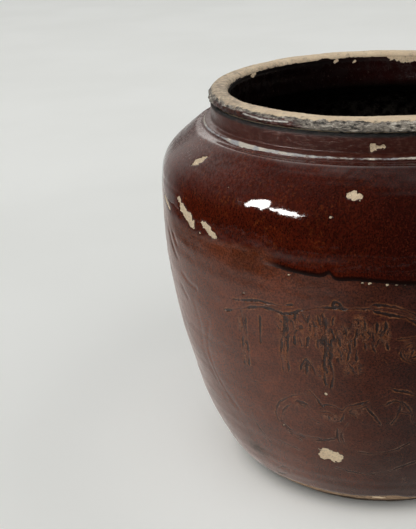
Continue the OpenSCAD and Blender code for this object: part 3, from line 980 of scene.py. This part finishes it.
def make_second_coat(coat, over, coat_t, glaze):
    az = columns(FRONT_STEP * 1.1, SIDE_STEP, over.r.max())
    start = over.s_at(EDGE_Z(az))
    base = float(over.s_at(245.0))
    rows = np.concatenate([np.arange(0, 14, 0.8), np.linspace(14, over.length - base, 128)])
    skin = Skin(over, shifted(base, rows, start, EDGE_FADE), az)
    turn = np.broadcast_to(az, skin.s.shape)
    rise = skin.s - start[None, :]
    own = 0.24 * ripple(turn, skin.s, 95, 60, 42) + 0.05 * ripple(turn, skin.s, 170, 8, 43)
    own = own + 0.028 * ripple(turn, skin.s, 12, 10, 44, count=40)
    fat = np.clip(ROLL(az), 0.0, 1.0)[None, :]
    clings = (1 - np.clip(fat * 2.2, 0, 1)) * step_down(rise - 34.0, 30.0)
    skin.lift = skin.lift + own * (1 - clings) + first_ripples(turn, coat.s_at(skin.z)) * clings
    calm = step_down(skin.z - 318.0, 8.0)
    skin.lift = skin.lift * (0.25 + 0.75 * calm)
    groove, _ = skin.near([[(a, over.s_at(JOINT_Z(a))) for a in np.arange(-180, 181, 1.5)]], 9.0)
    skin.lift = skin.lift - JOINT_DEPTH(az)[None, :] * bump(groove, 2.0)
    marks = [([(a, z), (a + 0.3, z + 0.3)], 0.65) for a, z in SPECKS]
    edge = chip_field(skin, CHIPS + NECK_CHIPS + scattered_chips(32, 9, 255, 330) + marks, 51)
    chipped(skin, edge, 0.95, 53)
    steep = np.clip(1 - (1 - rise / 2.2) ** 2, 0, 1) ** 0.5
    steep = np.where(rise < 2.2, steep, 1.0)
    soft = 1 - step_down(rise, 44.0)
    full = soft + (steep - soft) * np.clip(fat * 2.2, 0, 1)
    skin.lift = skin.lift - (coat_t + 0.15) * (1 - full) + 1.0 * fat * bump(rise - 3.4, 2.6) * steep
    skin.lift = np.clip(skin.lift, -coat_t - 0.6, 1.0)
    skin.lift = np.where(edge < 0.4, np.maximum(skin.lift, -1.0), skin.lift)
    front = skin.points()
    piece = shell("glaze_second_coat", np.concatenate([front, back_rows(skin, coat_t + 0.8)]))
    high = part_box("ledge_ring")[1].z / MM
    crest = over.s[np.argmax(over.z > high - 0.4)] - 2.3
    wide = 1.7 + 1.3 * bump(az + 55, 9.0) + 1.2 * bump(az + 92, 14.0)
    set_field(piece, "chip", edge, 6.0)
    set_field(piece, "tone", np.broadcast_to(TONE_AND_SHADE(az), skin.s.shape), 0.5)
    set_field(piece, "thin", (1 - np.clip(fat * 2.2, 0, 1)) * step_down(rise - 6.0, 15.0))
    set_field(piece, "rise", rise, 20.0)
    low_neck = bump(skin.z - high - 1.5, 3.5) * (1 - step_down(skin.z - high + 1.0, 1.5))
    set_field(piece, "dust", bump(az + 92, 14.0)[None, :] * low_neck * 0.8)
    # Along the ledge's crest: worn glaze and a painted highlight
    set_field(piece, "wear_and_highlight", 1.08 * LEDGE_WEAR_AND_HIGHLIGHT(az)[None, :] * bump((skin.s - crest) / wide[None, :], 1.0))
    set_field(piece, "neck", 1 - step_down(skin.z - high + 6.0, 5.0))
    # Painted shadow and grime in the groove under the rim
    set_field(piece, "darkening", 1 - step_down(skin.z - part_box("rim_roll")[0].z / MM + 5.0, 2.4))
    # Scuffed, rougher glaze on the upper shoulder, left and back, with painted sheen in its colour
    off = (az + 92 + 180) % 360 - 180
    off_back = (az - 110 + 180) % 360 - 180
    scuff_and_sheen_zone = np.clip(bump(off, 42.0) + 0.6 * bump(off_back, 50.0), 0, 1)
    set_field(piece, "scuff_and_sheen", scuff_and_sheen_zone[None, :] * (1 - step_down(skin.z - 282, 30.0)))
    return dress(piece, glaze, "dark_glaze", "second_glaze")


def make_rim(look):
    """The bare clay roll with what is left of the first coat on its outer face."""
    clay = rings("rim_roll")
    coat = apart(rings("first_glaze"), np.vstack([rings(name) for name in CLAY_NODES]))
    low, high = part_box("rim_roll")[0].z / MM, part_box("rim_roll")[1].z / MM
    outside = coat[coat[:, 1] > low - 1.2]
    mean_r = (clay[:, 0].min() + clay[:, 0].max()) / 2
    top_out = clay[(clay[:, 0] > mean_r) & (clay[:, 1] > outside[-1, 1] + 0.5)]
    top_in = clay[(clay[:, 0] < mean_r) & (clay[:, 1] > low + 0.5)]
    top_in = np.array(sorted(top_in.tolist(), key=lambda p: (-p[0], -p[1])))
    inner = clay[:, 0].min()
    line = np.vstack([outside, top_out, top_in, [[inner, low + 1.5]]])
    keep = np.concatenate([[True], np.hypot(*np.diff(line, axis=0).T) > 0.3])
    rim = Outline(line[keep])
    az = columns(0.85, 1.5, rim.r.max())
    rows = np.linspace(0, rim.length, 64)
    skin = Skin(rim, rows, az)
    turn = np.broadcast_to(az, skin.s.shape)
    bare = rim.s[np.argmax(rim.z > outside[-1, 1] + 0.8)]
    outer = step_down(skin.s - bare + 1.0, 2.0)
    rough = 0.22 * ripple(turn, skin.s, 7, 4, 61, count=40) + 0.14 * ripple(turn, skin.s, 3.5, 2.5, 62, count=40)
    skin.lift = skin.lift + 0.18 * ripple(turn, skin.s, 60, 30, 63) - 0.3
    skin.lift = skin.lift + rough * (0.22 + 0.78 * outer)
    top = skin.z > high - 1.0
    skin.lift = np.where(top, np.minimum(skin.lift, -0.02), skin.lift)
    front = skin.points()
    below = Skin(rim, rows[[-1, 0]], az)
    inside = below.points(-2.5)
    piece = shell("rim_bare_roll", np.concatenate([front, inside]))
    set_field(piece, "below", bare - skin.s, -20.0)
    set_field(piece, "inner", rim.length - skin.s - rim_inner_lap(az)[None, :], 20.0)
    set_field(piece, "darkening", np.broadcast_to(RIM_DARKENING(az), skin.s.shape))
    set_field(piece, "glazed", np.broadcast_to(RIM_GLAZE(az), skin.s.shape))
    # Path of the painted glint along the rim's outer face
    glint = [(a, bare - down) for a, down in ((-56, 1.8), (-52, 2.6), (-48, 3.2), (-43, 3.0), (-38, 2.2))]
    set_field(piece, "painted_glint", skin.near([curve(glint, 1.0)], 6.0)[0], 6.0)
    return dress(piece, look, "bare_clay", "rim_roll")


def rim_inner_lap(az):
    """How far the dark lining laps up the roll's inner edge, in mm, none where the mouth is chipped."""
    az = (np.asarray(az) + 180) % 360 - 180
    lap = 2.2 + 0.7 * ripple(az, az * 0, 30, 1e6, 64) + 0.4 * ripple(az, az * 0, 9, 1e6, 65)
    bare = bump(az - 157, 8.0) + bump(az - 63, 4.0) + step_down(np.abs(az + 22) - 42, 14.0)
    return lap - 9.0 * np.clip(bare * 1.6, 0, 1)


def make_lining(look):
    clay = np.vstack([rings(name) for name in CLAY_NODES])
    line = apart(rings("inner_glaze"), clay)
    flat = line[line[:, 1] < line[0, 1] + 0.05]
    rest = line[line[:, 1] >= line[0, 1] + 0.05]
    level = [[r, flat[0, 1]] for r in (1.0, 20.0, 40.0, 60.0, 80.0, 100.0)]
    lining = Outline(np.vstack([level, flat[flat[:, 0] > 102], rest]))
    az = columns(2.4, 3.0, lining.r.max())
    rows = np.concatenate([np.linspace(0, lining.length - 60, 110), np.linspace(lining.length - 59, lining.length, 48)])
    skin = Skin(lining, rows, az)
    turn = np.broadcast_to(az, skin.s.shape)
    spread = np.clip(skin.r / 60, 0, 1)
    skin.lift = spread * (0.22 * ripple(turn, skin.s, 120, 12, 71) + 0.12 * ripple(turn, skin.s, 50, 40, 72))
    to_mouth = skin.outline.length - skin.s
    skin.lift = skin.lift * (1 - step_down(to_mouth - 4, 10)) + 0.72 * step_down(to_mouth - 0.5, 4.0)
    edge = chip_field(skin, MOUTH_CHIPS, 73)
    back = Skin(lining, skin.s[::2], az).points(0.7)
    piece = shell("lining_glaze", np.concatenate([back, skin.points()[::-1]]), poles=True)
    fields = np.concatenate([np.full(back.shape[:2], 6.0), edge[::-1]])
    set_field(piece, "chip", fields, 6.0)
    off = (az - 162 + 180) % 360 - 180
    set_field(piece, "tone", np.broadcast_to(bump(off, 24.0), fields.shape))
    heights = np.concatenate([back[:, :, 2], skin.points()[::-1][:, :, 2]])
    # Stains and painted sheen on the far inner wall, under the shoulder
    set_field(piece, "stain_and_sheen", bump(off, 26.0)[None, :] * bump(heights - 292, 16.0))
    return dress(piece, look, "inner_glaze", "inner_glaze")


def make_foot(look):
    """The bare foot: underside, rounded edge and the stretch of wall that the glaze leaves free."""
    base = rings("base_disc")
    wall = rings("lower_wall")
    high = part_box("base_disc")[1].z / MM
    first = apart(rings("first_glaze"), np.vstack([rings(name) for name in CLAY_NODES]))
    bare_z = first[0, 1]
    under = base[base[:, 1] < high - 0.5]
    under = np.array(sorted(under.tolist(), key=lambda p: (p[0], p[1])))
    outer_wall = wall[(wall[:, 0] > base[:, 0].max() - 0.5) & (wall[:, 1] > high + 0.5) & (wall[:, 1] < bare_z + 30)]
    outer_wall = apart(outer_wall, rings("inner_glaze"), 2.0)
    line = np.vstack([[[1.0, under[0, 1]]], under[under[:, 0] > 2], outer_wall[:3]])
    keep = np.concatenate([[True], np.hypot(*np.diff(line, axis=0).T) > 0.3])
    foot = Outline(line[keep])
    az = columns(1.2, 2.0, foot.r.max())
    rows = np.concatenate([np.linspace(0, 85, 14), np.linspace(88, foot.length, 56)])
    skin = Skin(foot, rows, az)
    turn = np.broadcast_to(az, skin.s.shape)
    skin.lift = 0.10 * ripple(turn, skin.s, 9, 6, 81, count=40) + 0.12 * ripple(turn, skin.s, 60, 20, 82)
    skin.lift = skin.lift * np.clip(skin.r / 60, 0, 1)
    skin.lift = np.where(skin.z < 1.0, np.minimum(skin.lift, 0.0), skin.lift) + 0.12 * (skin.z > high - 3)
    top = skin.points()
    inner = Skin(foot, [foot.length], az)
    cap = inner.points(-4.0)
    bend, floor = cap.copy(), cap.copy()
    bend[..., :2] *= 0.93
    bend[..., 2] = high + 1.0
    floor[..., :2] *= 0.75
    floor[..., 2] = high - 2.5
    hub = floor.copy()
    hub[..., :2] *= 0.01
    piece = shell("foot_clay", np.concatenate([top, cap, bend, floor, hub]), poles=True)
    return dress(piece, look, "bare_clay", "base_disc")


# ---------------------------------------------------------------- stage

# The dark side of the room that the glaze mirrors: (azimuth, top in mm, brightness) of its wall round the jar
ROOM_R = 980.0
ROOM = [
    (-150, 1600, 0.62), (-140, 1600, 0.55), (-130, 1600, 0.34), (-121, 1600, 0.10), (-112, 1600, 0.014),
    (21, 1600, 0.014), (58, 1100, 0.014), (95, 600, 0.014),
]
# The edge of its dark ceiling: (x, y, brightness beyond it, width of the change), in mm
CEILING_Z = 1600.0
CEILING = [
    (-3920, 2900, 2.0, 900), (-2140, 1510, 2.0, 800), (-1440, 990, 2.0, 700), (-1050, 590, 2.0, 600),
    (-850, 260, 2.1, 500), (-620, -10, 2.0, 500), (-430, -250, 1.5, 550), (-150, -460, 0.85, 700),
    (170, -710, 0.42, 900), (900, -1250, 0.35, 1000), (2400, -2300, 0.35, 1000),
]
# The window, as two ragged openings in that wall: (azimuth, height in mm)
WINDOWS = [
    [
        (-74.6, 725), (-74.2, 782), (-72.5, 800), (-71.3, 900), (-68.6, 950), (-66, 905), (-62.4, 790), (-61.8, 690),
        (-64, 590), (-66, 490), (-67, 572), (-71.4, 560), (-71.8, 475), (-74.6, 562),
    ],
    [
        (-60.5, 640), (-58.8, 682), (-56.2, 730), (-52.4, 703), (-49.2, 670), (-47.5, 725), (-46.6, 650),
        (-43.0, 565), (-44.6, 523), (-46, 470), (-47, 527), (-52.9, 538), (-55.9, 634), (-58.9, 601),
    ],
]
# How bright the floor is in the mirror: far off and near the foot, round the jar, and how it falls off between
FLOOR_FAR = round_about([
    (-170, 0.62), (-140, 0.66), (-90, 0.68), (-50, 0.65), (-32, 0.5), (-15, 0.12), (0, 0.1), (25, 0.1), (100, 0.5),
    (140, 0.6),
])
FLOOR_NEAR = round_about([(-170, 0.65), (-90, 0.68), (-45, 0.66), (-25, 0.46), (-10, 0.34), (20, 0.31), (100, 0.6)])
FLOOR_TINT = (1.0, 0.93, 0.87)
FLOOR_NEAR_R, FLOOR_FALL = 200.0, 118.0
FLOOR_DIM_FROM, FLOOR_DIM_TO = 560.0, 960.0
DARK = 0.014


def glow_material(name, strength, colour=(1, 1, 1), from_field=None):
    material = bpy.data.materials.new(name)
    material.use_nodes = True
    nodes, links = material.node_tree.nodes, material.node_tree.links
    nodes.clear()
    glow = nodes.new("ShaderNodeEmission")
    glow.inputs["Color"].default_value = (*colour, 1)
    glow.inputs["Strength"].default_value = strength
    if from_field:
        level = nodes.new("ShaderNodeAttribute")
        level.attribute_name = from_field
        links.new(level.outputs["Fac"], glow.inputs["Strength"])
    out = nodes.new("ShaderNodeOutputMaterial")
    links.new(glow.outputs[0], out.inputs["Surface"])
    return material


def mirror_only(name, points, faces, material):
    """A stage surface that only reflections see. Points are in mm."""
    mesh = bpy.data.meshes.new(name)
    mesh.from_pydata([tuple(x * MM for x in p) for p in points], [], faces)
    mesh.materials.append(material)
    thing = bpy.data.objects.new(name, mesh)
    bpy.context.scene.collection.objects.link(thing)
    thing.visible_camera = False
    thing.visible_diffuse = False
    thing.visible_transmission = False
    thing.visible_volume_scatter = False
    thing.visible_shadow = False
    return thing


def round_at(az, r, z):
    a = math.radians(az)
    return (r * math.sin(a), -r * math.cos(a), z)


def soft(value):
    t = min(max(value, 0.0), 1.0)
    return t * t * (3 - 2 * t)


def ceiling_level(x, y):
    """Brightness of the ceiling at x, y: dark on the photographer's side of its edge, and bright beyond."""
    best = None
    for (ax, ay, glow_a, wide_a), (bx, by, glow_b, wide_b) in zip(CEILING, CEILING[1:]):
        dx, dy = bx - ax, by - ay
        t = min(max(((x - ax) * dx + (y - ay) * dy) / (dx * dx + dy * dy), 0.0), 1.0)
        off = math.hypot(x - ax - t * dx, y - ay - t * dy)
        beyond = dx * (y - ay) - dy * (x - ax) > 0
        if best is None or off < best[0]:
            best = (off, beyond, glow_a + t * (glow_b - glow_a), wide_a + t * (wide_b - wide_a))
    off, beyond, glow, wide = best
    return DARK + (glow - DARK) * soft(off / wide if beyond else 0.0)


def floor_level(az, r):
    """Brightness of the mirrored floor: bright near the foot, and fading out towards the dark wall."""
    far, near = float(FLOOR_FAR(az)), float(FLOOR_NEAR(az))
    level = far + (near - far) * math.exp(-max(r - FLOOR_NEAR_R, 0) / FLOOR_FALL)
    walled = soft((az + 150) / 20) * soft((110 - az) / 20)
    dim = soft((r - FLOOR_DIM_FROM) / (FLOOR_DIM_TO - FLOOR_DIM_FROM)) * walled
    return level * (1 - dim) + DARK * dim


def sheet(name, columns_of_points, closed, levels, tint=(1.0, 0.96, 0.92)):
    """A stage surface from equal rows of points, each point with its own brightness."""
    n, rows = len(columns_of_points[0]), len(columns_of_points)
    last = n if closed else n - 1
    faces = [
        (i * n + j, i * n + (j + 1) % n, (i + 1) * n + (j + 1) % n, (i + 1) * n + j)
        for i in range(rows - 1) for j in range(last)
    ]
    points = [p for row in columns_of_points for p in row]
    thing = mirror_only(name, points, faces, glow_material(name, 1.0, tint, from_field="level"))
    thing.data.attributes.new("level", "FLOAT", "POINT").data.foreach_set("value", levels)


def make_room():
    """What the glaze mirrors: a dark room with a window on one side, and a floor that is bright near the jar."""
    turned, tops, levels = np.array(ROOM, float).T
    turns = np.arange(turned[0], turned[-1] + 1, 2.5)
    wall = [[round_at(a, ROOM_R, 4.0), round_at(a, ROOM_R, float(np.interp(a, turned, tops)))] for a in turns]
    sheet("wall_mirrored", wall, False, [float(np.interp(a, turned, levels)) for a in turns for _ in range(2)])
    light = glow_material("window_light", 34.0, (1.0, 0.99, 0.96))
    for k, shape in enumerate(WINDOWS):
        mirror_only(f"window_{k}", [round_at(a, ROOM_R - 14, z) for a, z in shape], [tuple(range(len(shape)))], light)
    xs = np.concatenate([np.arange(-6000, -2400, 300), np.arange(-2400, 1500, 100), np.arange(1500, 4001, 250)])
    ys = np.concatenate([np.arange(-3000, -1400, 200), np.arange(-1400, 2000, 100), np.arange(2000, 5001, 300)])
    grid = [[(float(x), float(y), CEILING_Z) for x in xs] for y in ys]
    sheet("ceiling_mirrored", grid, False, [ceiling_level(x, y) for row in grid for x, y, _ in row])
    reaches = [125, 160, 200, 220, 245, 275, 310, 350, 400, 450, 510, 570, 630, 690, 750, 810, 870, 930, 970]
    spokes = np.arange(-180, 180, 6.0)
    rows = [[round_at(a, r, 3.0) for a in spokes] for r in reaches]
    sheet("floor_mirrored", rows, True, [floor_level(float(a), r) for r in reaches for a in spokes], FLOOR_TINT)


# Painted light: how strongly the pale floor glows to lift the jar's shadow on it, near the jar and far from it
FLOOR_PAINTED_GLOW_NEAR, FLOOR_PAINTED_GLOW_FAR = 0.185, 0.02


def make_floor():
    bpy.ops.mesh.primitive_circle_add(vertices=96, radius=60.0, fill_type="NGON", location=(0, 0, 0))
    floor = bpy.context.object
    floor.name = "floor"
    look = Look("pale_floor")
    tone = look.span(look.noise(420, 3, 0.5), 0.3, 0.7)
    look.set(Base_Color=look.blend(tone, (0.875, 0.88, 0.845), (0.905, 0.91, 0.877)), Roughness=0.7)
    look.set(Specular_IOR_Level=0.15)
    reach = look.add("ShaderNodeVectorMath", operation="LENGTH")
    look.feed(reach.inputs[0], look.place)
    reach = reach.outputs["Value"]
    # Painted light: glow on the floor round the jar, so the jar's shadow on it stays faint
    lift = look.times(look.span(reach, 0.119, 0.150), look.span(reach, 0.12, 0.36, FLOOR_PAINTED_GLOW_NEAR, FLOOR_PAINTED_GLOW_FAR))
    look.set(Emission_Color=(1.0, 1.0, 0.97, 1.0), Emission_Strength=lift)
    floor.data.materials.append(look.material)


# Brightness of the sky at its horizon and overhead, and how much more of it comes from the photographer's side
SKY_LOW, SKY_HIGH = 0.30, 0.88
SKY_FRONT = 0.75


def make_lights():
    world = bpy.data.worlds.new("studio")
    bpy.context.scene.world = world
    world.use_nodes = True
    nodes, links = world.node_tree.nodes, world.node_tree.links
    background = nodes["Background"]
    background.inputs["Color"].default_value = (0.985, 0.995, 1.0, 1)
    place = nodes.new("ShaderNodeTexCoord")
    split = nodes.new("ShaderNodeSeparateXYZ")
    links.new(place.outputs["Generated"], split.inputs[0])
    level = nodes.new("ShaderNodeMapRange")
    links.new(split.outputs["Z"], level.inputs["Value"])
    level.inputs["To Min"].default_value = SKY_LOW
    level.inputs["To Max"].default_value = SKY_HIGH
    front = nodes.new("ShaderNodeMapRange")
    front.clamp = False
    links.new(split.outputs["Y"], front.inputs["Value"])
    front.inputs["To Min"].default_value = 1.0
    front.inputs["To Max"].default_value = 1.0 - SKY_FRONT
    both = nodes.new("ShaderNodeMath")
    both.operation = "MULTIPLY"
    links.new(level.outputs[0], both.inputs[0])
    links.new(front.outputs[0], both.inputs[1])
    links.new(both.outputs[0], background.inputs["Strength"])
    lamp = bpy.data.lights.new("overhead", "AREA")
    lamp.shape = "RECTANGLE"
    lamp.size, lamp.size_y = 3.0, 2.4
    lamp.energy = 9.0
    lamp.color = (1.0, 0.985, 0.96)
    holder = bpy.data.objects.new("overhead", lamp)
    holder.location = (-1.1, -0.2, 2.6)
    holder.rotation_euler = Vector((1.1, 0.2, -2.4)).to_track_quat("-Z", "Y").to_euler()
    holder.visible_glossy = False
    bpy.context.scene.collection.objects.link(holder)


def make_camera():
    data = bpy.data.cameras.new("camera")
    data.lens = CAMERA_LENS
    data.sensor_width = SENSOR
    camera = bpy.data.objects.new("camera", data)
    bpy.context.scene.collection.objects.link(camera)
    down, roll = math.radians(CAMERA_DOWN), math.radians(CAMERA_ROLL)
    forward = Vector((0, math.cos(down), -math.sin(down)))
    right, up = Vector((1, 0, 0)), Vector((0, math.sin(down), math.cos(down)))
    turned_right = math.cos(roll) * right + math.sin(roll) * up
    turned_up = math.cos(roll) * up - math.sin(roll) * right
    turned = Matrix((turned_right, turned_up, -forward)).transposed().to_4x4()
    camera.matrix_world = Matrix.Translation(CAMERA_AT) @ turned
    bpy.context.scene.camera = camera


make_camera()
make_floor()
make_room()
make_lights()
bpy.context.scene.view_settings.view_transform = "Standard"

first_outline, second_outline, second_t = outer_lines()
make_first_coat(first_outline, first_look())
make_second_coat(first_outline, second_outline, second_t, second_look())
make_rim(rim_look())
make_lining(lining_look())
make_foot(foot_look())
fired_clay = clay_look()
for node_name in CLAY_NODES:
    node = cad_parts[node_name]
    for place in range(len(node.material_slots)):
        node.material_slots[place].material = fired_clay
